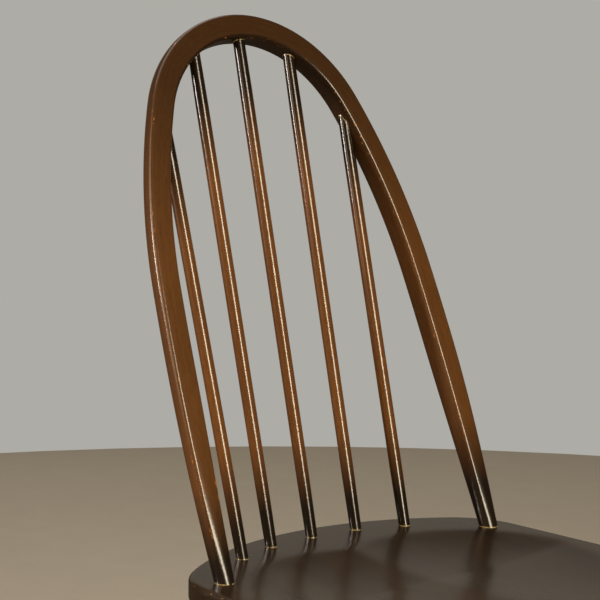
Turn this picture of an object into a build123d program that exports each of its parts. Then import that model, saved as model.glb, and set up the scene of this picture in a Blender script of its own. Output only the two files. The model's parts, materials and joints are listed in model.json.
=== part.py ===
from build123d import *
from math import acos, cos, degrees, pi, radians, sin, sqrt
import os

# Hoop-back Windsor dining chair in beech. Millimetres, +Z up, front towards -Y, left is -X.
# It is drawn with y = 0 on the line through the hoop's feet, and moved at the end so that
# the origin is on the floor under the middle of the chair's outline.

# Seat
seat_height = 434.0            # floor to the flat rim of the seat
seat_thickness = 34.0
seat_rear_half_width = 199.0   # where the sides would meet the rear edge, before it is rounded
seat_front_half_width = 206.8
seat_rear_y = 107.0
seat_front_y = -250.0
seat_rear_radius = 285.0
seat_front_radius = 560.0
seat_rear_corner = 82.0
seat_front_corner = 64.0
seat_arris = 5.0               # rounding of the top edge
seat_bevel_in = 18.0           # under-bevel, inwards
seat_bevel_up = 14.0           # under-bevel, upwards
board_seams = (-126.0, -42.0, 42.0, 126.0)

# Saddle: two shallow scoops side by side, which fade out towards the front
scoop_radius = 900.0
scoop_depth = 8.5
scoop_x = 62.0
scoop_y = -92.0
scoop_rise = 2.2               # degrees that a scoop climbs towards the front
scoop_reach = 400.0

# Hoop, drawn in a plane that leans back and stands on the seat
hoop_lean = 21.9               # degrees from upright
hoop_height = 535.0            # seat to the crown's centreline, along the lean
crown_radius = 128.0
crown_half_turn = 67.7         # degrees from the top of the crown to its shoulder
limb_radius = 603.0            # the bend between the crown and the tail
tail_angle = 85.7              # degrees from level where the limb runs into the tail
tail_radius = 3200.0           # the tail's slight bend, down to the seat
hoop_width = 24.5              # across the limb, in the hoop's plane
hoop_depth = 22.0              # front face to back
hoop_corner = 2.8
hoop_back_corner = 13.5        # the outer back edge is rounded off for the hand
hoop_foot_diameter = 18.5
hoop_whittle_start = 4.0       # above the seat, where the round foot starts to swell
hoop_whittle_end = 208.0       # above the seat, where the limb has its full section
hoop_whittle_steps = 7

# Hoop wedges, driven into the through tenons from below
wedge_base = 3.2
wedge_tip = 0.8
wedge_length = 24.0

# Spindles
spindle_diameter = 12.7
spindle_end_diameter = 11.6
spindle_taper = 60.0
spindle_socket = 20.0          # depth in the seat
spindle_places = {             # x and y of its foot on the seat, and x where it meets the hoop
    "spindle_left_outer": (-105.6, 55.0, -116.4),
    "spindle_left_inner": (-55.3, 73.0, -60.8),
    "spindle_centre": (0.0, 77.0, 0.0),
    "spindle_right_inner": (55.3, 73.0, 60.8),
    "spindle_right_outer": (105.6, 55.0, 116.4),
}

# Legs
leg_top_radius = 12.5          # at the underside of the seat
leg_belly_radius = 16.5
leg_belly_drop = 150.0         # below the seat
leg_foot_radius = 10.5
leg_tenon_radius = 11.0
leg_tenon_length = 22.0
front_leg_top = (142.0, -178.0)
front_leg_foot = (190.0, -232.0)
back_leg_top = (104.0, 26.0)
back_leg_foot = (176.0, 138.0)

# Stretchers
stretcher_end_radius = 7.5
stretcher_belly_radius = 12.0
stretcher_plain_end = 30.0
stretcher_past_leg_axis = 4.0
stretcher_past_side_axis = 3.0
side_stretcher_front_z = 176.0
side_stretcher_back_z = 158.0

underside = seat_height - seat_thickness


def point_at_height(top, foot, z):
    """The point at height z on the line from top to foot."""
    return foot + (top - foot) * ((z - foot.Z) / (top.Z - foot.Z))


def turned(start, end, outline):
    """A turned piece on the line from start to end, from an outline in (radius, distance)."""
    blank = revolve(Plane.XZ * make_face(outline), Axis.Z)
    return Plane(origin=start, z_dir=end - start) * blank


def make_spindle(foot, top):
    """A straight dowel that thins towards both ends, from its socket in the seat to the hoop."""
    start = foot - (top - foot).normalized() * spindle_socket
    length = (top - start).length
    end_radius = spindle_end_diameter / 2
    full_radius = spindle_diameter / 2
    outline = Polyline(
        (0, 0),
        (end_radius, 0),
        (end_radius, spindle_socket),
        (full_radius, spindle_socket + spindle_taper),
        (full_radius, length - spindle_taper),
        (end_radius, length),
        (0, length),
        close=True,
    )
    return turned(start, top, outline)


def make_leg(top, foot):
    """A leg, thickest a third of the way down, with a round tenon and a foot cut level."""
    start = top + (top - foot).normalized() * leg_tenon_length
    end = (start - foot).length + leg_foot_radius
    side = Spline(
        (leg_top_radius, leg_tenon_length),
        (leg_belly_radius, leg_tenon_length + leg_belly_drop),
        (leg_foot_radius, end),
        tangents=((0.06, 1), (-0.03, 1)),
    )
    rest = Polyline(
        (leg_foot_radius, end),
        (0, end),
        (0, 0),
        (leg_tenon_radius, 0),
        (leg_tenon_radius, leg_tenon_length),
        (leg_top_radius, leg_tenon_length),
    )
    ground = Pos(foot.X, foot.Y, -50) * Box(200, 200, 100)
    return turned(start, foot, side + rest) - ground


def make_stretcher(start, end, past_axis):
    """A dowel with a swelled middle, whose plain round ends run past_axis beyond both points."""
    reach = (end - start).normalized() * past_axis
    first = start - reach
    last = end + reach
    length = (last - first).length
    side = Spline(
        (stretcher_end_radius, stretcher_plain_end),
        (stretcher_belly_radius, length / 2),
        (stretcher_end_radius, length - stretcher_plain_end),
        tangents=((0.03, 1), (-0.03, 1)),
    )
    rest = Polyline(
        (stretcher_end_radius, length - stretcher_plain_end),
        (stretcher_end_radius, length),
        (0, length),
        (0, 0),
        (stretcher_end_radius, 0),
        (stretcher_end_radius, stretcher_plain_end),
    )
    return turned(first, last, side + rest)


def limb_section(width, depth, corner, back_corner):
    """The hoop's section: x points outwards across the limb, y points to the back."""
    face = Rectangle(width, depth)
    outer_back = face.vertices().sort_by(lambda v: v.X + v.Y)[-1]
    face = fillet(outer_back, back_corner)
    sharp = [v for v in face.vertices() if abs(abs(v.X) - width / 2) + abs(abs(v.Y) - depth / 2) < 0.001]
    return fillet(sharp, corner)


# Hoop: the right half's centreline is three arcs, each tangent to the next: crown, limb and tail
hoop_plane = Plane(
    origin=(0, 0, seat_height),
    x_dir=(1, 0, 0),
    z_dir=(0, -cos(radians(hoop_lean)), sin(radians(hoop_lean))),
)
shoulder_angle = radians(crown_half_turn)
tail_top_angle = radians(tail_angle)
crown_rise = hoop_height - crown_radius
limb_centre_x = (crown_radius - limb_radius) * sin(shoulder_angle)
limb_centre_rise = crown_rise + (crown_radius - limb_radius) * cos(shoulder_angle)
tail_centre_x = limb_centre_x + (limb_radius - tail_radius) * sin(tail_top_angle)
tail_centre_rise = limb_centre_rise + (limb_radius - tail_radius) * cos(tail_top_angle)
foot_angle = acos(-tail_centre_rise / tail_radius)
hoop_foot_x = tail_centre_x + tail_radius * sin(foot_angle)
tail_length = tail_radius * (foot_angle - tail_top_angle)


def on_hoop(x, rise):
    """The point of the hoop's plane at x, and at a distance up the lean from the seat."""
    return hoop_plane.from_local_coords(Vector(x, rise, 0))


def limb_plane(above_foot):
    """The plane square to the right limb's tail, at a distance up the tail from the seat."""
    angle = foot_angle - max(above_foot, 0) / tail_radius
    centre = on_hoop(tail_centre_x, tail_centre_rise)
    outwards = on_hoop(tail_centre_x + sin(angle), tail_centre_rise + cos(angle)) - centre
    upwards = hoop_plane.z_dir.cross(outwards)
    origin = centre + outwards * tail_radius + upwards * min(above_foot, 0)
    return Plane(origin=origin, x_dir=outwards, z_dir=upwards)


def whittled_section(share):
    """The tail's section at a share of the way from its round foot to the full limb."""
    swell = sin(share * pi / 2)
    width = hoop_foot_diameter + (hoop_width - hoop_foot_diameter) * swell
    depth = hoop_foot_diameter + (hoop_depth - hoop_foot_diameter) * swell
    nearly_round = 0.49 * hoop_foot_diameter
    corner = nearly_round + (hoop_corner - nearly_round) * swell
    back_corner = nearly_round + (hoop_back_corner - nearly_round) * swell
    return limb_section(width, depth, corner, back_corner)


full_section = limb_section(hoop_width, hoop_depth, hoop_corner, hoop_back_corner)
crown_axis = Axis(on_hoop(0, crown_rise), hoop_plane.z_dir)
limb_axis = Axis(on_hoop(limb_centre_x, limb_centre_rise), hoop_plane.z_dir)
tail_axis = Axis(on_hoop(tail_centre_x, tail_centre_rise), hoop_plane.z_dir)
limb_turn = tail_angle - crown_half_turn
tail_top_section = limb_plane(tail_length) * full_section
limb = revolve(tail_top_section, limb_axis, limb_turn)
half_crown = revolve(tail_top_section.rotate(limb_axis, limb_turn), crown_axis, crown_half_turn)
full_tail_turn = degrees((tail_length - hoop_whittle_end) / tail_radius)
full_tail = revolve(limb_plane(hoop_whittle_end) * full_section, tail_axis, full_tail_turn)
whittle_length = hoop_whittle_end - hoop_whittle_start
whittled = loft(
    [
        limb_plane(hoop_whittle_start + whittle_length * step / hoop_whittle_steps)
        * whittled_section(step / hoop_whittle_steps)
        for step in range(hoop_whittle_steps + 1)
    ]
)
from_its_end = (Align.CENTER, Align.CENTER, Align.MIN)
tenon_reach = 2 * seat_thickness
tenon_rod = Cylinder(hoop_foot_diameter / 2, tenon_reach + hoop_whittle_start, align=from_its_end)
tenon = (limb_plane(-tenon_reach) * tenon_rod) - Pos(hoop_foot_x, 0, underside - 50) * Box(200, 200, 100)

# The wedge spreads each tenon along the grain of the seat
wedge_outline = Polyline(
    (-wedge_base / 2, -hoop_foot_diameter),
    (wedge_base / 2, -hoop_foot_diameter),
    (wedge_base / 2, 0),
    (wedge_tip / 2, wedge_length),
    (-wedge_tip / 2, wedge_length),
    (-wedge_base / 2, 0),
    close=True,
)
wedge_blank = extrude(Plane.YZ * make_face(wedge_outline), hoop_foot_diameter, both=True)
right_wedge = (limb_plane(-seat_thickness / limb_plane(0).z_dir.Z) * wedge_blank) & tenon
right_half = (tenon - right_wedge) + whittled + full_tail + limb + half_crown
hoop = right_half + mirror(right_half, Plane.YZ)

pieces = {}
pieces["hoop_wedge_right"] = right_wedge
pieces["hoop_wedge_left"] = mirror(right_wedge, Plane.YZ)

# Spindles end on the hoop's centreline, in blind sockets bored in the crown
for name, (foot_x, foot_y, top_x) in spindle_places.items():
    top_rise = crown_rise + sqrt(crown_radius**2 - top_x**2)
    pieces[name] = make_spindle(Vector(foot_x, foot_y, seat_height), on_hoop(top_x, top_rise))
    hoop -= pieces[name]
pieces["hoop"] = hoop

# Legs, with a side stretcher between each pair and one across between the side stretchers
middles = {}
for side, sign in (("left", -1), ("right", 1)):
    front_top = Vector(sign * front_leg_top[0], front_leg_top[1], underside)
    front_foot = Vector(sign * front_leg_foot[0], front_leg_foot[1], 0)
    back_top = Vector(sign * back_leg_top[0], back_leg_top[1], underside)
    back_foot = Vector(sign * back_leg_foot[0], back_leg_foot[1], 0)
    front_joint = point_at_height(front_top, front_foot, side_stretcher_front_z)
    back_joint = point_at_height(back_top, back_foot, side_stretcher_back_z)
    side_stretcher = make_stretcher(front_joint, back_joint, stretcher_past_leg_axis)
    middles[side] = (front_joint + back_joint) / 2
    pieces[f"leg_front_{side}"] = make_leg(front_top, front_foot) - side_stretcher
    pieces[f"leg_back_{side}"] = make_leg(back_top, back_foot) - side_stretcher
    pieces[f"stretcher_{side}"] = side_stretcher
cross = make_stretcher(middles["left"], middles["right"], stretcher_past_side_axis)
for side in middles:
    pieces[f"stretcher_{side}"] -= cross
pieces["stretcher_cross"] = cross


def seat_outline():
    """The seat from above: a bowed rear edge, flared sides and a bowed front, with round corners."""
    rear_drop = seat_rear_radius - sqrt(seat_rear_radius**2 - seat_rear_half_width**2)
    front_drop = seat_front_radius - sqrt(seat_front_radius**2 - seat_front_half_width**2)
    rear_left = (-seat_rear_half_width, seat_rear_y - rear_drop)
    rear_right = (seat_rear_half_width, seat_rear_y - rear_drop)
    front_left = (-seat_front_half_width, seat_front_y + front_drop)
    front_right = (seat_front_half_width, seat_front_y + front_drop)
    rear = ThreePointArc(rear_left, (0, seat_rear_y), rear_right)
    front = ThreePointArc(front_right, (0, seat_front_y), front_left)
    face = make_face(rear + Line(rear @ 1, front @ 0) + front + Line(front @ 1, rear @ 0))
    face = fillet(face.vertices().sort_by(Axis.Y)[2:], seat_rear_corner)
    return fillet(face.vertices().sort_by(Axis.Y)[:2], seat_front_corner)


def make_scoop(side):
    """The cutter for one half of the saddle: a ball, drawn out forwards and slightly upwards."""
    place = Pos(side * scoop_x, scoop_y, seat_height + scoop_radius - scoop_depth)
    drawn_out = Cylinder(scoop_radius, scoop_reach, align=from_its_end)
    return place * (Sphere(scoop_radius) + Rot(90 - scoop_rise, 0, 0) * drawn_out)


seat = extrude(Pos(0, 0, underside) * seat_outline(), seat_thickness)
seat = chamfer(seat.faces().sort_by(Axis.Z)[0].edges(), seat_bevel_up, seat_bevel_in)
seat = fillet(seat.faces().sort_by(Axis.Z)[-1].edges(), seat_arris)
for side in (-1, 1):
    seat -= make_scoop(side)
for piece in list(pieces.values()):
    seat -= piece

# The seat's staves, glued edge to edge with the grain from front to back
seat_length = seat_rear_y - seat_front_y
stave_edges = (-seat_front_half_width * 1.5, *board_seams, seat_front_half_width * 1.5)
stave_names = ("left", "mid_left", "centre", "mid_right", "right")
for name, near_edge, far_edge in zip(stave_names, stave_edges[:-1], stave_edges[1:]):
    slab = Box(far_edge - near_edge, 2 * seat_length, 3 * seat_thickness)
    pieces[f"seat_board_{name}"] = seat & (Pos((near_edge + far_edge) / 2, 0, seat_height) * slab)

# Centre the chair over the origin, front to back, and write each piece
boxes = [piece.bounding_box() for piece in pieces.values()]
middle_y = (min(box.min.Y for box in boxes) + max(box.max.Y for box in boxes)) / 2
os.makedirs("parts", exist_ok=True)
for name, piece in pieces.items():
    export_step(Pos(0, -middle_y, 0) * piece, f"parts/{name}.step")
print(f"hoop foot x {hoop_foot_x:.2f}, tail {tail_length:.2f}, moved in y by {-middle_y:.3f}")
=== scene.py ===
import json
from math import acos, atan2, cos, pi, radians, sin, sqrt, tan

import bmesh
import bpy
from mathutils import Matrix, Vector


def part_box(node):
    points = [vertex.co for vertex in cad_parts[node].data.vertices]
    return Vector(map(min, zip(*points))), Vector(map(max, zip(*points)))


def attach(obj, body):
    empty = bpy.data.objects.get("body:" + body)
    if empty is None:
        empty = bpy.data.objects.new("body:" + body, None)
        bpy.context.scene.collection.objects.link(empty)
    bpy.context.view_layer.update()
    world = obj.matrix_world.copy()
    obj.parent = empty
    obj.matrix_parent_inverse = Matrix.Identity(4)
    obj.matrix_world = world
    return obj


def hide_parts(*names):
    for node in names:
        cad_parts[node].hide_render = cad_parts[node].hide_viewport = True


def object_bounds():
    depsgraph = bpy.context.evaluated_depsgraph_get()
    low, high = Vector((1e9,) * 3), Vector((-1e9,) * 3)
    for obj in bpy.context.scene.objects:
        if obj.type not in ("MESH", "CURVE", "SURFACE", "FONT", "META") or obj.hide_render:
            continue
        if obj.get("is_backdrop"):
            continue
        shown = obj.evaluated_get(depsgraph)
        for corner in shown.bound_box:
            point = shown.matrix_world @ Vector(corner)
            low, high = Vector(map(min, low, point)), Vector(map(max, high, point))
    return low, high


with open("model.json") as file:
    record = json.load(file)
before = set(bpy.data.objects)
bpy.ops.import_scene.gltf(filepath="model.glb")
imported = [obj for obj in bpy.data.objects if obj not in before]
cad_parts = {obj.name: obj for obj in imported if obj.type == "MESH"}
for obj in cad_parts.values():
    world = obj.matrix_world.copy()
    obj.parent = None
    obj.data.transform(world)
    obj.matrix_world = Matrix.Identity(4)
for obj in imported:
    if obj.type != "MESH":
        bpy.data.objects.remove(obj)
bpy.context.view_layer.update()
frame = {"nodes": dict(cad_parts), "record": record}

# ------------------------------------------------------------------------------------------------
# Seat: five beech staves glued edge to edge, sawn to a shield, hollowed into two shallow scoops and
# bevelled underneath. Stained almost black, and sprayed with satin lacquer with the rest.
# ------------------------------------------------------------------------------------------------
MM = 0.001

seat_low, seat_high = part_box("seat_board_centre")
seat_underside = seat_low.z
seat_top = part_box("seat_board_left")[1].z
seat_front_y = seat_low.y
seat_rear_y = seat_high.y
hoop_line_y = seat_rear_y - 107 * MM  # the line through the hoop's feet

seat_rear_half_width = 199 * MM
seat_front_half_width = 206.8 * MM
seat_rear_radius = 285 * MM
seat_front_radius = 560 * MM
seat_rear_corner = 82 * MM
seat_front_corner = 64 * MM
seat_arris = 4.5 * MM
seat_bevel_in = 18 * MM
seat_bevel_up = 14 * MM
seat_lower_arris = 2 * MM
outline_pitch = 4 * MM
saddle_pitch = 5 * MM

scoop_radius = 900 * MM
scoop_depth = 8.5 * MM
scoop_x = 62 * MM
scoop_y = hoop_line_y - 92 * MM
scoop_rise = radians(2.2)
scoop_brim = 0.7 * MM
scoop_ridge = 1.2 * MM


def arc_points(centre, radius, start, end):
    """Points along an arc. Its angles are turned from +Y towards +X."""
    count = round(radius * abs(end - start) / outline_pitch)
    turns = [start + (end - start) * step / count for step in range(count)]
    return [centre + Vector((radius * sin(turn), radius * cos(turn), 0)) for turn in turns]


def corner_centre(start, along, bow, reach):
    """The point on a line from start, in the direction along, that is at a reach from a bow's centre."""
    half_b = (start - bow).dot(along)
    return start + along * (sqrt(half_b**2 - (start - bow).length_squared + reach**2) - half_b)


def seat_outline():
    """The right half of the outline, from the middle of the rear to the middle of the front."""
    rear_bow = Vector((0, seat_rear_y - seat_rear_radius, 0))
    front_bow = Vector((0, seat_front_y + seat_front_radius, 0))
    rear_drop = sqrt(seat_rear_radius**2 - seat_rear_half_width**2)
    front_drop = sqrt(seat_front_radius**2 - seat_front_half_width**2)
    rear_end = rear_bow + Vector((seat_rear_half_width, rear_drop, 0))
    front_end = front_bow + Vector((seat_front_half_width, -front_drop, 0))
    along = (front_end - rear_end).normalized()
    outwards = Vector((-along.y, along.x, 0))
    side_turn = atan2(outwards.x, outwards.y)
    rear_start = rear_end - outwards * seat_rear_corner
    rear = corner_centre(rear_start, -along, rear_bow, seat_rear_radius - seat_rear_corner)
    front_start = front_end - outwards * seat_front_corner
    front = corner_centre(front_start, along, front_bow, seat_front_radius - seat_front_corner)
    rear_turn = atan2(rear.x, rear.y - rear_bow.y)
    front_turn = atan2(front.x, front.y - front_bow.y)
    side_start = rear + outwards * seat_rear_corner
    side_end = front + outwards * seat_front_corner
    side_count = round((side_end - side_start).length / outline_pitch)
    points = arc_points(rear_bow, seat_rear_radius, 0, rear_turn)
    points += arc_points(rear, seat_rear_corner, rear_turn, side_turn)
    points += [side_start.lerp(side_end, step / side_count) for step in range(side_count)]
    points += arc_points(front, seat_front_corner, side_turn, front_turn)
    points += arc_points(front_bow, seat_front_radius, front_turn, pi)
    return points + [Vector((0, seat_front_y, 0))]


def saddle_dip(x, y):
    """How far the saddle lies below the rim: two scoops that fade out towards the front."""
    ahead = scoop_y - y
    if ahead < 0:
        fall = ahead**2 / (2 * scoop_radius)
    else:
        fall = ahead * tan(scoop_rise)
    near = scoop_depth - fall - (abs(x) - scoop_x) ** 2 / (2 * scoop_radius)
    far = scoop_depth - fall - (abs(x) + scoop_x) ** 2 / (2 * scoop_radius)
    deeper = (near + far + sqrt((near - far) ** 2 + scoop_ridge**2)) / 2
    return (deeper + sqrt(deeper**2 + scoop_brim**2)) / 2


def level_edges(bm, height):
    """The edges that lie level at a height."""
    return [edge for edge in bm.edges if all(abs(vert.co.z - height) < 0.1 * MM for vert in edge.verts)]


def slice_across(bm, axis, places):
    """Cuts every face where it crosses planes square to an axis, so that it can then be bent."""
    for place in places:
        everything = bm.verts[:] + bm.edges[:] + bm.faces[:]
        bmesh.ops.bisect_plane(bm, geom=everything, plane_co=axis * place, plane_no=axis, dist=0.01 * MM)


def seat_blank():
    """The whole seat, before it is parted into its staves."""
    bm = bmesh.new()
    half = seat_outline()
    outline = [Vector((-point.x, point.y, 0)) for point in reversed(half[1:-1])] + half
    side_foot = seat_underside + seat_bevel_up
    lower = bm.faces.new([bm.verts.new((point.x, point.y, side_foot)) for point in outline])
    lower.normal_update()
    if lower.normal.z > 0:
        lower.normal_flip()
    raised = bmesh.ops.extrude_face_region(bm, geom=[lower], use_keep_orig=True)["geom"]
    raised = [part for part in raised if isinstance(part, bmesh.types.BMVert)]
    bmesh.ops.translate(bm, verts=raised, vec=(0, 0, seat_top - side_foot))
    bmesh.ops.recalc_face_normals(bm, faces=bm.faces)
    bmesh.ops.inset_region(bm, faces=[lower], thickness=seat_bevel_in, depth=0)
    bmesh.ops.translate(bm, verts=lower.verts, vec=(0, 0, -seat_bevel_up))
    rounding = ((seat_top, seat_arris, 5), (side_foot, seat_lower_arris, 2), (seat_underside, seat_lower_arris, 2))
    for height, offset, segments in rounding:
        edges = level_edges(bm, height)
        bmesh.ops.bevel(
            bm, geom=edges, offset=offset, segments=segments, profile=0.5, affect="EDGES", material=-1
        )
    across = round(2 * seat_front_half_width / saddle_pitch)
    slice_across(bm, Vector((1, 0, 0)), [(step - across / 2) * saddle_pitch for step in range(across + 1)])
    deep = round((seat_rear_y - seat_front_y) / saddle_pitch)
    slice_across(bm, Vector((0, 1, 0)), [seat_front_y + step * saddle_pitch for step in range(1, deep + 1)])
    for vert in bm.verts:
        share = (vert.co.z - side_foot) / (seat_top - side_foot)
        vert.co.z -= max(share, 0) * saddle_dip(vert.co.x, vert.co.y)
    bmesh.ops.recalc_face_normals(bm, faces=bm.faces)
    return bm


def linear(shade):
    """A colour like '#6f451c', turned from sRGB to linear."""
    parts = [int(shade[start : start + 2], 16) / 255 for start in (1, 3, 5)]
    return [part / 12.92 if part <= 0.04045 else ((part + 0.055) / 1.055) ** 2.4 for part in parts] + [1]


def add(tree, kind, inputs=None, **settings):
    """Adds a node. Each of its inputs is given a value, or linked to another node's output."""
    node = tree.nodes.new("ShaderNode" + kind)
    for name, value in settings.items():
        setattr(node, name, value)
    for name, value in (inputs or {}).items():
        if isinstance(value, bpy.types.NodeSocket):
            tree.links.new(value, node.inputs[name])
        else:
            node.inputs[name].default_value = value
    return node


def stained_beech(name, pale, deep, spray_and_shade, bare, gloss, flecks):
    """Lacquered beech with a brown spirit stain. The stain takes darker in the pores and in beech's
    short rays, so the surface has a fine broken streak along the grain. Joints are sprayed nearly
    black, and the same near-black also lays painted shade where a piece is marked for it. Satin
    lacquer lies over it all, with a slight orange peel that breaks up its highlights."""
    material = bpy.data.materials.new(name)
    material.use_nodes = True
    tree = material.node_tree
    tree.nodes.clear()
    grain = add(tree, "Attribute", attribute_name="grain").outputs["Vector"]

    # Pores are 0.1 mm wide and too fine to show, so fibres are drawn 1.2 mm wide and 20 mm long
    fibre = add(tree, "Mapping", {"Vector": grain, "Scale": (800, 800, 50)}).outputs[0]
    fibre = add(tree, "TexNoise", {"Vector": fibre, "Scale": 1, "Detail": 4, "Roughness": 0.6}).outputs[0]
    # Growth rings are about 3 mm apart
    rings = add(tree, "Mapping", {"Vector": grain, "Location": (0.031, 0.052, 0), "Scale": (1, 1, 0.02)})
    rings = add(
        tree,
        "TexWave",
        {"Vector": rings.outputs[0], "Scale": 105, "Distortion": 4, "Detail": 2, "Detail Scale": 12},
        wave_type="RINGS",
        rings_direction="Z",
    ).outputs["Fac"]
    # The stain is wiped on, and dries in soft patches 30 mm across and 140 mm long
    cloud = add(tree, "Mapping", {"Vector": grain, "Scale": (34, 34, 7)}).outputs[0]
    cloud = add(tree, "TexNoise", {"Vector": cloud, "Scale": 1, "Detail": 2, "Roughness": 0.5}).outputs[0]
    # Rays are 0.3 mm wide and 2 mm long, and are drawn three times as large
    ray = add(tree, "Mapping", {"Vector": grain, "Scale": (760, 760, 150)}).outputs[0]
    ray = add(tree, "TexNoise", {"Vector": ray, "Scale": 1, "Detail": 1, "Roughness": 0.4}).outputs[0]
    ray = add(tree, "MapRange", {"Value": ray, "From Min": 0.56, "From Max": 0.70, "To Max": flecks}).outputs[0]

    stain = add(tree, "Math", {0: rings, 1: 0.10, 2: fibre}, operation="MULTIPLY_ADD").outputs[0]
    stain = add(tree, "Math", {0: cloud, 1: 1.0, 2: stain}, operation="MULTIPLY_ADD").outputs[0]
    stain = add(tree, "MapRange", {"Value": stain, "From Min": 0.62, "From Max": 1.58}).outputs[0]
    wood = add(tree, "Mix", {0: stain, 6: linear(deep), 7: linear(pale)}, data_type="RGBA").outputs[2]
    wood = add(tree, "Mix", {0: ray, 6: wood, 7: linear(deep)}, data_type="RGBA").outputs[2]

    # This mixes in the dark spray at joints and, on the hoop's inner face, painted shade
    shade = add(tree, "Attribute", attribute_name="spray_and_shade").outputs["Fac"]
    uneven = add(tree, "Math", {0: cloud, 1: 0.5}, operation="SUBTRACT").outputs[0]
    shade = add(tree, "Math", {0: uneven, 1: 0.25, 2: shade}, operation="MULTIPLY_ADD", use_clamp=True)
    wood = add(tree, "Mix", {0: shade.outputs[0], 6: wood, 7: linear(spray_and_shade)}, data_type="RGBA").outputs[2]

    # Bare wood shows in chips, 2 mm by 6 mm, where the arrises are knocked
    worn = add(tree, "Attribute", attribute_name="worn").outputs["Fac"]
    chip = add(tree, "Mapping", {"Vector": grain, "Scale": (420, 420, 130)}).outputs[0]
    chip = add(tree, "TexNoise", {"Vector": chip, "Scale": 1, "Detail": 3, "Roughness": 0.6}).outputs[0]
    bared = add(tree, "Math", {0: chip, 1: worn}, operation="ADD").outputs[0]
    bared = add(tree, "MapRange", {"Value": bared, "From Min": 1.14, "From Max": 1.2}).outputs[0]
    wood = add(tree, "Mix", {0: bared, 6: wood, 7: linear(bare)}, data_type="RGBA").outputs[2]

    # Pale dried glue shows in a broken line 1 mm wide round each joint
    joint = add(tree, "Attribute", attribute_name="joint").outputs["Fac"]
    joint = add(tree, "Math", {0: joint}, operation="ABSOLUTE").outputs[0]
    line = {"Value": joint, "From Min": 0.6 * MM, "From Max": 1.0 * MM, "To Min": 0.76, "To Max": 0}
    line = add(tree, "MapRange", line).outputs[0]
    line = add(tree, "Math", {0: chip, 1: line}, operation="ADD").outputs[0]
    line = add(tree, "MapRange", {"Value": line, "From Min": 1.16, "From Max": 1.24}).outputs[0]
    wood = add(tree, "Mix", {0: line, 6: wood, 7: linear("#b39c68")}, data_type="RGBA").outputs[2]

    # The lacquer sinks a little between the fibres, and its orange peel is about 1.5 mm across
    peel = add(tree, "Mapping", {"Vector": grain, "Scale": (700, 700, 600)}).outputs[0]
    peel = add(tree, "TexNoise", {"Vector": peel, "Scale": 1, "Detail": 1}).outputs[0]
    relief = add(tree, "Math", {0: fibre, 1: 0.5, 2: peel}, operation="MULTIPLY_ADD").outputs[0]
    bump = add(tree, "Bump", {"Height": relief, "Distance": 0.05 * MM, "Strength": 0.9}).outputs[0]
    dull = add(tree, "MapRange", {"Value": fibre, "To Min": gloss + 0.12, "To Max": gloss + 0.28}).outputs[0]
    lacquered = add(
        tree,
        "BsdfPrincipled",
        {
            "Base Color": wood,
            "Roughness": dull,
            "IOR": 1.5,
            "Specular IOR Level": 0.15,
            "Normal": bump,
            "Coat Weight": 1.0,
            "Coat Roughness": gloss,
            "Coat IOR": 1.5,
            "Coat Normal": bump,
        },
    ).outputs[0]
    add(tree, "OutputMaterial", {"Surface": lacquered})
    return material


def finish_piece(name, bm, marks, material, node, sharp=35):
    """Makes a piece from a bmesh. marks gives each vertex's place in the straight grain, how far it
    is sprayed dark or darkened as painted shade, its distance from the nearest joint and how worn it is."""
    for face in bm.faces:
        face.smooth = True
    for edge in bm.edges:
        edge.smooth = edge.calc_face_angle(0) < radians(sharp)
    values = [marks(vert) for vert in bm.verts]
    mesh = bpy.data.meshes.new(name)
    bm.to_mesh(mesh)
    bm.free()
    layer = mesh.attributes.new("grain", "FLOAT_VECTOR", "POINT")
    layer.data.foreach_set("vector", [part for value in values for part in value[0]])
    for place, kind in ((1, "spray_and_shade"), (2, "joint"), (3, "worn")):
        layer = mesh.attributes.new(kind, "FLOAT", "POINT")
        layer.data.foreach_set("value", [value[place] for value in values])
    mesh.materials.append(material)
    piece = bpy.data.objects.new(name, mesh)
    bpy.context.scene.collection.objects.link(piece)
    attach(piece, "root")
    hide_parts(node)
    return piece


seat_stain = stained_beech(
    "black_stained_lacquered_beech", "#3c2916", "#181009", "#14100b", "#b08850", gloss=0.2, flecks=0.3
)
whole_seat = seat_blank()
far_from_joints = 1.0
for index, board in enumerate(("left", "mid_left", "centre", "mid_right", "right")):
    low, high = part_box(f"seat_board_{board}")
    stave = whole_seat.copy()
    for seam, outwards in ((low.x, -1), (high.x, 1)):
        if abs(seam) > seat_rear_half_width:
            continue
        everything = stave.verts[:] + stave.edges[:] + stave.faces[:]
        cut = bmesh.ops.bisect_plane(
            stave, geom=everything, plane_co=(seam, 0, 0), plane_no=(outwards, 0, 0), clear_outer=True
        )
        rim = [part for part in cut["geom_cut"] if isinstance(part, bmesh.types.BMEdge)]
        bmesh.ops.holes_fill(stave, edges=rim)
    own_tree = Vector((index * 0.31, index * 0.17, index * 0.9))

    def seat_marks(vert, own_tree=own_tree):
        """The grain runs from front to back, and the top arris is the most knocked."""
        below_rim = seat_top - saddle_dip(vert.co.x, vert.co.y) - vert.co.z
        knocked = 0.5 if 0.2 * MM < below_rim < seat_arris else 0.0
        return Vector((vert.co.x, vert.co.z, vert.co.y)) + own_tree, 0.0, far_from_joints, knocked

    finish_piece(f"seat_stave_{board}", stave, seat_marks, seat_stain, f"seat_board_{board}")
whole_seat.free()

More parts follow.
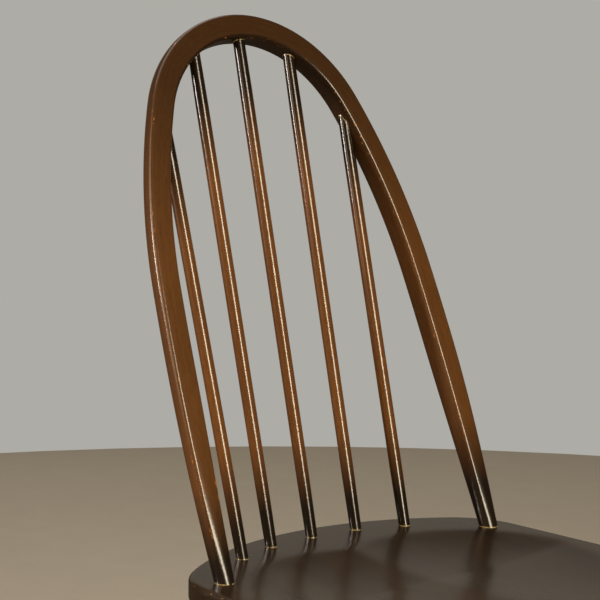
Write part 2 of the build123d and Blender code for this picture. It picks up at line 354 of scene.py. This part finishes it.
# ------------------------------------------------------------------------------------------------
# Hoop: one squared beech bar, steamed and bent round a former, its arrises eased and the outer back
# edge rounded for the hand. Both ends are whittled to round tenons that go through the seat.
# ------------------------------------------------------------------------------------------------
hoop_lean = radians(21.9)
hoop_height = 535 * MM  # up the lean, from the seat to the middle of the bar at the crown
crown_radius = 128 * MM
crown_half_turn = radians(67.7)
limb_radius = 603 * MM
tail_angle = radians(85.7)
tail_radius = 3200 * MM
hoop_width = 24.5 * MM
hoop_depth = 22 * MM
hoop_arris = 2.8 * MM
hoop_front_arris = 3.6 * MM
hoop_back_round = 13.5 * MM
hoop_foot_radius = 9.25 * MM
whittle_start = 4 * MM
whittle_end = 208 * MM
bar_pitch = 4 * MM
tenon_proud = 0.3 * MM
dark_foot = 30 * MM
dark_fade = 70 * MM
dark_shoulder = 330 * MM

# In the hoop's plane (across, up the lean) each half is three arcs: crown, limb and tail
shoulder = Vector((sin(crown_half_turn), cos(crown_half_turn)))
tail_top = Vector((sin(tail_angle), cos(tail_angle)))
crown_centre = Vector((0, hoop_height - crown_radius))
limb_centre = crown_centre + shoulder * (crown_radius - limb_radius)
tail_centre = limb_centre + tail_top * (limb_radius - tail_radius)
foot_angle = acos(-tail_centre.y / tail_radius)
crown_length = crown_radius * crown_half_turn
limb_end = crown_length + limb_radius * (tail_angle - crown_half_turn)
half_bar = limb_end + tail_radius * (foot_angle - tail_angle)
bends = [
    (0, crown_centre, crown_radius, 0),
    (crown_length, limb_centre, limb_radius, crown_half_turn),
    (limb_end, tail_centre, tail_radius, tail_angle),
]

up_the_lean = Vector((0, sin(hoop_lean), cos(hoop_lean)))
hoop_forwards = Vector((0, -cos(hoop_lean), sin(hoop_lean)))


def on_hoop(x, rise):
    """The point of the hoop's plane at x, and at a distance up the lean from the seat."""
    return Vector((x, hoop_line_y, seat_top)) + up_the_lean * rise


def hoop_place(along):
    """The bar's centre and its outward direction, at a distance from the crown towards the right."""
    start, centre, radius, turn = [bend for bend in bends if bend[0] <= abs(along)][-1]
    turn += (abs(along) - start) / radius
    side = 1 if along > 0 else -1
    outwards = Vector((side * sin(turn), 0, 0)) + up_the_lean * cos(turn)
    x = centre.x + radius * sin(turn)
    return on_hoop(side * x, centre.y + radius * cos(turn)), outwards


def hoop_bar():
    """The straight bar, its length along Z and its middle at the crown. X is outwards, Y forwards."""
    bm = bmesh.new()
    corners = [(-1, -1), (1, -1), (1, 1), (-1, 1)]
    section = bm.faces.new([bm.verts.new((x * hoop_width / 2, y * hoop_depth / 2, 0)) for x, y in corners])
    for vert in section.verts[:]:
        outer_back = vert.co.x > 0 > vert.co.y
        rounding = hoop_front_arris if vert.co.y > 0 else hoop_arris
        bmesh.ops.bevel(
            bm,
            geom=[vert],
            offset=hoop_back_round if outer_back else rounding,
            segments=10 if outer_back else 4,
            profile=0.5,
            affect="VERTICES",
            material=-1,
        )
    flats = [edge for edge in bm.edges if edge.calc_length() > 4 * MM]
    bmesh.ops.subdivide_edges(bm, edges=flats, cuts=3)
    reach = half_bar + (seat_top - seat_underside + tenon_proud) / cos(hoop_lean) + hoop_foot_radius
    bmesh.ops.translate(bm, verts=bm.verts, vec=(0, 0, -reach))
    drawn = bmesh.ops.extrude_face_region(bm, geom=bm.faces[:], use_keep_orig=True)["geom"]
    drawn = [part for part in drawn if isinstance(part, bmesh.types.BMVert)]
    bmesh.ops.translate(bm, verts=drawn, vec=(0, 0, 2 * reach))
    long_edges = [edge for edge in bm.edges if edge.calc_length() > reach]
    bmesh.ops.subdivide_edges(bm, edges=long_edges, cuts=round(2 * reach / bar_pitch))
    bmesh.ops.recalc_face_normals(bm, faces=bm.faces)
    return bm


def hoop_marks_layer(bm):
    """Keeps each vertex's place in the straight bar while the bar is whittled and bent."""
    layer = bm.verts.layers.float_vector.new("straight")
    for vert in bm.verts:
        vert[layer] = vert.co
    return layer


hoop = hoop_bar()
straight = hoop_marks_layer(hoop)
for vert in hoop.verts:
    across = Vector((vert.co.x, vert.co.y))
    above_foot = half_bar - abs(vert.co.z)
    share = min(max((above_foot - whittle_start) / (whittle_end - whittle_start), 0), 1)
    swell = sin(share * pi / 2)
    across = (across.normalized() * hoop_foot_radius).lerp(across, swell)
    middle, outwards = hoop_place(vert.co.z)
    vert.co = middle + outwards * across.x + hoop_forwards * across.y
everything = hoop.verts[:] + hoop.edges[:] + hoop.faces[:]
cut = bmesh.ops.bisect_plane(
    hoop,
    geom=everything,
    plane_co=(0, 0, seat_underside - tenon_proud),
    plane_no=(0, 0, -1),
    clear_outer=True,
)
bmesh.ops.holes_fill(hoop, edges=[part for part in cut["geom_cut"] if isinstance(part, bmesh.types.BMEdge)])
bmesh.ops.recalc_face_normals(hoop, faces=hoop.faces)


def hoop_marks(vert):
    """The grain follows the bend. The feet are sprayed dark, the right one further up, and the crown
    is sprayed a little dark. On the crown's inner face, which faces down, painted shade adds half as
    much again. The front arrises are knocked, most near the left foot."""
    place = vert[straight]
    above_foot = half_bar - abs(place.z)
    sprayed = dark_foot * (1.4 if place.z > 0 else 0.6)
    spray_and_shade = min(max((sprayed + dark_fade - above_foot) / dark_fade, 0), 1)
    crown = min(max(1 - abs(place.z) / dark_shoulder, 0), 0.6)
    # The crown's inner face faces down and away from the lamps, so it is darkened further: painted shade
    shaded_inner_face = place.x < -0.4 * hoop_width
    spray_and_shade = min(spray_and_shade + crown * (1.5 if shaded_inner_face else 1), 1)
    arris = abs(place.x) > 0.4 * hoop_width and place.y > 0.3 * hoop_depth
    worn = 0.5 if arris else 0.0
    if place.z < 0 and 55 * MM < above_foot < 100 * MM and place.x < -0.3 * hoop_width and place.y > 0:
        worn = 0.59
    return place, spray_and_shade, vert.co.z - seat_top, worn


hoop_stain = stained_beech(
    "walnut_stained_lacquered_beech", "#774d26", "#563617", "#1c1209", "#b8702c", gloss=0.2, flecks=0.5
)
finish_piece("hoop_bow", hoop, hoop_marks, hoop_stain, "hoop")

# ------------------------------------------------------------------------------------------------
# Hoop wedges: two thin beech wedges, driven into saw cuts in the ends of the hoop's tenons from
# below, so that the tenons spread and can't be drawn out. Trimmed flush, and stained with the seat.
# ------------------------------------------------------------------------------------------------
wedge_base = 3.2 * MM
wedge_tip = 0.8 * MM
wedge_length = 24 * MM

for side, sign in (("left", -1), ("right", 1)):
    shoulder_of_tenon = hoop_place(sign * half_bar)[0]
    foot = hoop_place(sign * (half_bar + (seat_top - seat_underside) / cos(hoop_lean)))[0]
    up = (shoulder_of_tenon - foot).normalized()
    foot += up * (seat_underside - tenon_proud - foot.z) / up.z
    wedge = bmesh.new()
    bmesh.ops.create_cube(wedge, size=1)
    bmesh.ops.translate(wedge, verts=wedge.verts, vec=(0, 0, 0.5))
    for vert in wedge.verts:
        thickness = wedge_base + (wedge_tip - wedge_base) * vert.co.z
        width = 2 * sqrt(hoop_foot_radius**2 - (wedge_base / 2) ** 2)
        vert.co = Vector((vert.co.x * width, vert.co.y * thickness, vert.co.z * wedge_length))
    for vert in wedge.verts:
        level = Vector((vert.co.x, vert.co.y, 0))
        vert.co = foot + level + up * (vert.co.z + tenon_proud * 0.5) - Vector((0, 0, tenon_proud))
    bmesh.ops.bevel(wedge, geom=wedge.edges, offset=0.2 * MM, segments=1, profile=0.5, affect="EDGES", material=-1)

    def wedge_marks(vert):
        """The grain runs up the wedge."""
        return vert.co + Vector((0.7, 0, 0)), 0.3, far_from_joints, 0.0

    finish_piece(f"tenon_wedge_{side}", wedge, wedge_marks, hoop_stain, f"hoop_wedge_{side}")

# ------------------------------------------------------------------------------------------------
# Spindles: five straight beech dowels, thinned a little towards both ends, and glued into blind
# sockets in the seat and the hoop. The ends are sprayed dark, the lower ones less far up.
# ------------------------------------------------------------------------------------------------
spindle_radius = 6.35 * MM
spindle_end_radius = 5.8 * MM
spindle_taper = 60 * MM
spindle_socket = 20 * MM
around = 48

beech_brown = stained_beech(
    "brown_stained_lacquered_beech", "#855628", "#5d381a", "#1c1209", "#b8702c", gloss=0.15, flecks=0.5
)


def end_centre(node, direction):
    """The middle of a straight CAD piece's end face, at the end furthest in a direction."""
    points = [vert.co for vert in frame["nodes"][node].data.vertices]
    furthest = max(point.dot(direction) for point in points)
    face = [point for point in points if point.dot(direction) > furthest - 10 * MM]
    return (Vector(map(min, *face)) + Vector(map(max, *face))) / 2


def turned(profile):
    """Turns a profile of (radius, height) about Z, closed at both ends, and keeps each straight place."""
    bm = bmesh.new()
    verts = [bm.verts.new((radius, 0, height)) for radius, height in profile]
    edges = [bm.edges.new(pair) for pair in zip(verts, verts[1:])]
    bmesh.ops.spin(
        bm, geom=verts + edges, cent=(0, 0, 0), axis=(0, 0, 1), angle=2 * pi, steps=around, use_merge=True
    )
    bmesh.ops.remove_doubles(bm, verts=bm.verts, dist=0.001 * MM)
    bmesh.ops.recalc_face_normals(bm, faces=bm.faces)
    hoop_marks_layer(bm)
    return bm


def stand(bm, start, end):
    """Moves a turned piece from the Z axis to the line from start to end."""
    turn = (end - start).to_track_quat("Z", "Y").to_matrix().to_4x4()
    bmesh.ops.transform(bm, verts=bm.verts, matrix=Matrix.Translation(start) @ turn)


def from_hoop_face(point):
    """How far a point is from the hoop's inner face, near the crown."""
    from_line = point - on_hoop(*crown_centre)
    in_plane = Vector((from_line.x, from_line.dot(up_the_lean)))
    return crown_radius - hoop_width / 2 - in_plane.length


for index, place in enumerate(("left_outer", "left_inner", "centre", "right_inner", "right_outer")):
    node = f"spindle_{place}"
    foot = end_centre(node, Vector((0, 0, -1)))
    top = end_centre(node, Vector((0, 0, 1)))
    length = (top - foot).length
    along = (top - foot) / length
    rows = round(length / bar_pitch)
    profile = [(0, 0)]
    for row in range(rows + 1):
        height = length * row / rows
        thin = max(1 - (height - spindle_socket) / spindle_taper, 1 - (length - height) / spindle_taper, 0)
        thin = min(thin, 1)
        profile.append((spindle_radius + (spindle_end_radius - spindle_radius) * thin, height))
    profile.append((0, length))
    dowel = turned(profile)
    stand(dowel, foot, top)
    straight = dowel.verts.layers.float_vector["straight"]
    own_tree = Vector((0.4 + index * 0.23, index * 0.37, index * 0.8))

    def spindle_marks(vert, straight=straight, own_tree=own_tree, length=length, along=along):
        """Sprayed dark above the seat and further below the hoop."""
        above_seat = vert[straight].z - spindle_socket
        below_hoop = length - vert[straight].z
        spray_and_shade = max(1 - (above_seat - 30 * MM) / (70 * MM), 1 - (below_hoop - 55 * MM) / (80 * MM), 0)
        joint = vert.co.z - seat_top
        if below_hoop < spindle_taper:
            closing = from_hoop_face(vert.co - along * MM) - from_hoop_face(vert.co)
            joint = from_hoop_face(vert.co) * MM / closing
        return vert[straight] + own_tree, min(spray_and_shade, 1), joint, 0.0

    finish_piece(f"back_{node}", dowel, spindle_marks, beech_brown, node)

# ------------------------------------------------------------------------------------------------
# Legs: four turned beech legs, fullest a third of the way down, glued into blind sockets under the
# seat. They splay out to feet that are cut level, with the sharp edge taken off.
# ------------------------------------------------------------------------------------------------
leg_top_radius = 12.5 * MM
leg_belly_radius = 16.5 * MM
leg_foot_radius = 10.5 * MM
leg_tenon_radius = 11 * MM
leg_tenon_length = 22 * MM
leg_belly_drop = 150 * MM
leg_top_slope = 0.06
leg_foot_slope = -0.03
foot_arris = 1 * MM


def swept(start, end, start_slope, end_slope, span, share):
    """A smooth radius between two others, with a given slope at each end of the span."""
    square, cube = share**2, share**3
    radius = start * (2 * cube - 3 * square + 1) + end * (3 * square - 2 * cube)
    return radius + span * (start_slope * (cube - 2 * square + share) + end_slope * (cube - square))


for index, place in enumerate(("front_left", "front_right", "back_left", "back_right")):
    node = f"leg_{place}"
    top = end_centre(node, Vector((0, 0, 1)))
    foot = next(Vector(mount["pos_m"]) for mount in frame["record"]["mounts"] if mount["name"] == f"foot_{place}")
    length = (top - foot).length
    belly = leg_tenon_length + leg_belly_drop
    profile = [(0, 0), (leg_tenon_radius, 0), (leg_tenon_radius, leg_tenon_length)]
    end = length + leg_foot_radius
    rows = round((end - leg_tenon_length) / (2 * bar_pitch))
    for row in range(rows + 1):
        down = leg_tenon_length + (end - leg_tenon_length) * row / rows
        if down < belly:
            share = (down - leg_tenon_length) / leg_belly_drop
            radius = swept(leg_top_radius, leg_belly_radius, leg_top_slope, 0, leg_belly_drop, share)
        else:
            share = (down - belly) / (end - belly)
            radius = swept(leg_belly_radius, leg_foot_radius, 0, leg_foot_slope, end - belly, share)
        profile.append((radius, down))
    profile.append((0, end))
    leg = turned(profile)
    stand(leg, top, foot)
    everything = leg.verts[:] + leg.edges[:] + leg.faces[:]
    cut = bmesh.ops.bisect_plane(leg, geom=everything, plane_co=(0, 0, 0), plane_no=(0, 0, -1), clear_outer=True)
    sole = bmesh.ops.holes_fill(leg, edges=[part for part in cut["geom_cut"] if isinstance(part, bmesh.types.BMEdge)])
    bmesh.ops.bevel(
        leg, geom=sole["faces"][0].edges[:], offset=foot_arris, segments=2, profile=0.5, affect="EDGES", material=-1
    )
    bmesh.ops.recalc_face_normals(leg, faces=leg.faces)
    straight = leg.verts.layers.float_vector["straight"]
    own_tree = Vector((2.1 + index * 0.29, index * 0.41, index * 0.7))

    def leg_marks(vert, straight=straight, own_tree=own_tree):
        """Sprayed dark under the seat and towards the foot."""
        spray_and_shade = max((vert.co.z - 320 * MM) / (80 * MM), (60 * MM - vert.co.z) / (80 * MM), 0)
        joint = abs(vert.co.z - seat_underside)
        return vert[straight] + own_tree, min(spray_and_shade, 1), joint, 0.45 if vert.co.z < foot_arris else 0.0

    finish_piece(f"turned_{node}", leg, leg_marks, hoop_stain, node)

# ------------------------------------------------------------------------------------------------
# Stretchers: three turned beech rails with a swelled middle, glued into blind holes. One joins the
# legs on each side, and one crosses between those two.
# ------------------------------------------------------------------------------------------------
stretcher_end_radius = 7.5 * MM
stretcher_belly_radius = 12 * MM
stretcher_plain_end = 30 * MM
stretcher_slope = 0.03

stretcher_ends = {
    "left": Vector((0, 1, 0)),
    "right": Vector((0, 1, 0)),
    "cross": Vector((1, 0, 0)),
}
for index, (place, direction) in enumerate(stretcher_ends.items()):
    node = f"stretcher_{place}"
    start = end_centre(node, -direction)
    end = end_centre(node, direction)
    length = (end - start).length
    swelled = length / 2 - stretcher_plain_end
    rows = 2 * round(length / (4 * bar_pitch))
    profile = [(0, 0)]
    for row in range(rows + 1):
        height = length * row / rows
        share = max(min(height, length - height) - stretcher_plain_end, 0) / swelled
        radius = swept(stretcher_end_radius, stretcher_belly_radius, stretcher_slope, 0, swelled, share)
        profile.append((radius, height))
    profile.append((0, length))
    rail = turned(profile)
    stand(rail, start, end)
    straight = rail.verts.layers.float_vector["straight"]
    own_tree = Vector((4.1 + index * 0.29, index * 0.41, index * 0.7))

    def rail_marks(vert, straight=straight, own_tree=own_tree, length=length):
        """Sprayed dark towards both ends."""
        from_end = min(vert[straight].z, length - vert[straight].z)
        spray_and_shade = max(1 - (from_end - 30 * MM) / (50 * MM), 0)
        return vert[straight] + own_tree, min(spray_and_shade, 1), far_from_joints, 0.0

    finish_piece(f"turned_{node}", rail, rail_marks, hoop_stain, node)

# ------------------------------------------------------------------------------------------------
# Studio: a plain pale painted floor that ends well behind the chair, and a plain pale backdrop.
# ------------------------------------------------------------------------------------------------
floor_radius = 2.66


def painted_floor():
    """Matt pale paint on board, with faint soft roller marks about 60 mm across."""
    material = bpy.data.materials.new("matt_pale_floor_paint")
    material.use_nodes = True
    tree = material.node_tree
    tree.nodes.clear()
    place = add(tree, "TexCoord").outputs["Object"]
    marks = add(tree, "TexNoise", {"Vector": place, "Scale": 16, "Detail": 3}).outputs[0]
    tone = add(tree, "Mix", {0: marks, 6: linear("#c9c3b8"), 7: linear("#d2ccc1")}, data_type="RGBA").outputs[2]
    paint = add(tree, "BsdfPrincipled", {"Base Color": tone, "Roughness": 0.8, "IOR": 1.45}).outputs[0]
    add(tree, "OutputMaterial", {"Surface": paint})
    return material


floor_bm = bmesh.new()
bmesh.ops.create_circle(floor_bm, cap_ends=True, segments=96, radius=floor_radius)
floor_mesh = bpy.data.meshes.new("studio_floor")
floor_bm.to_mesh(floor_mesh)
floor_bm.free()
floor_mesh.materials.append(painted_floor())
floor = bpy.data.objects.new("studio_floor", floor_mesh)
bpy.context.scene.collection.objects.link(floor)
floor.visible_glossy = False
floor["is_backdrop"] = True

world = bpy.data.worlds.new("pale_studio")
bpy.context.scene.world = world
world.use_nodes = True
sky = world.node_tree
sky.nodes.clear()
backdrop = add(sky, "Background", {"Color": linear("#aeaca6"), "Strength": 1.0}).outputs[0]
fill = add(sky, "Background", {"Color": linear("#b8a890"), "Strength": 0.1}).outputs[0]
seen = add(sky, "LightPath").outputs["Is Camera Ray"]
both = add(sky, "MixShader", {0: seen, 1: fill, 2: backdrop}).outputs[0]
add(sky, "OutputWorld", {"Surface": both})


def softbox(name, azimuth, elevation, distance, width, height, power, colour):
    """A soft area light that faces the chair's back. Azimuth 0 is in front of it."""
    turn, tilt = radians(azimuth), radians(elevation)
    away = Vector((sin(turn) * cos(tilt), -cos(turn) * cos(tilt), sin(tilt)))
    light = bpy.data.lights.new(name, "AREA")
    light.shape = "RECTANGLE"
    light.size = width
    light.size_y = height
    light.energy = power
    light.color = linear(colour)[:3]
    lamp = bpy.data.objects.new(name, light)
    lamp.location = Vector((0, 0, seat_top + 240 * MM)) + away * distance
    lamp.rotation_mode = "QUATERNION"
    lamp.rotation_quaternion = away.to_track_quat("Z", "Y")
    lamp.visible_camera = False
    bpy.context.scene.collection.objects.link(lamp)


softbox("key_softbox", -8, 19, 2.5, 0.75, 1.2, 54, "#fff0d2")
softbox("side_window", -100, 26, 2.6, 1.8, 1.6, 28, "#ffe2bc")
softbox("wall_bounce", 139, 9, 3.0, 3.6, 1.0, 2.3, "#f4ead8")
softbox("window_strip", -121, 12, 2.5, 0.16, 0.55, 22, "#fff6ee")
softbox("floor_light", 180, 62, 3.0, 3.6, 2.4, 30, "#fff4e6")

# ------------------------------------------------------------------------------------------------
# Camera: a long lens, a little above the seat and in front of the chair's right-hand side as it
# faces you, aimed at the middle of the back.
# ------------------------------------------------------------------------------------------------
camera_azimuth = radians(-40.81)
camera_elevation = radians(7.05)
camera_roll = radians(0.59)
camera_distance = 1.80607
camera_aim = Vector((-32.73 * MM, hoop_line_y + 60.28 * MM, seat_top + 239.2 * MM))

away = Vector(
    (
        sin(camera_azimuth) * cos(camera_elevation),
        -cos(camera_azimuth) * cos(camera_elevation),
        sin(camera_elevation),
    )
)
level_right = (-away).cross(Vector((0, 0, 1))).normalized()
level_up = level_right.cross(-away)
right = level_right * cos(camera_roll) + level_up * sin(camera_roll)
up = level_up * cos(camera_roll) - level_right * sin(camera_roll)
lens = bpy.data.cameras.new("view")
lens.sensor_width = 36
lens.lens = 113.74
camera = bpy.data.objects.new("view", lens)
camera.matrix_world = Matrix.Translation(camera_aim + away * camera_distance) @ Matrix(
    (right, up, away)
).transposed().to_4x4()
bpy.context.scene.collection.objects.link(camera)
bpy.context.scene.camera = camera
bpy.context.scene.view_settings.view_transform = "Standard"

low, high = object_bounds()
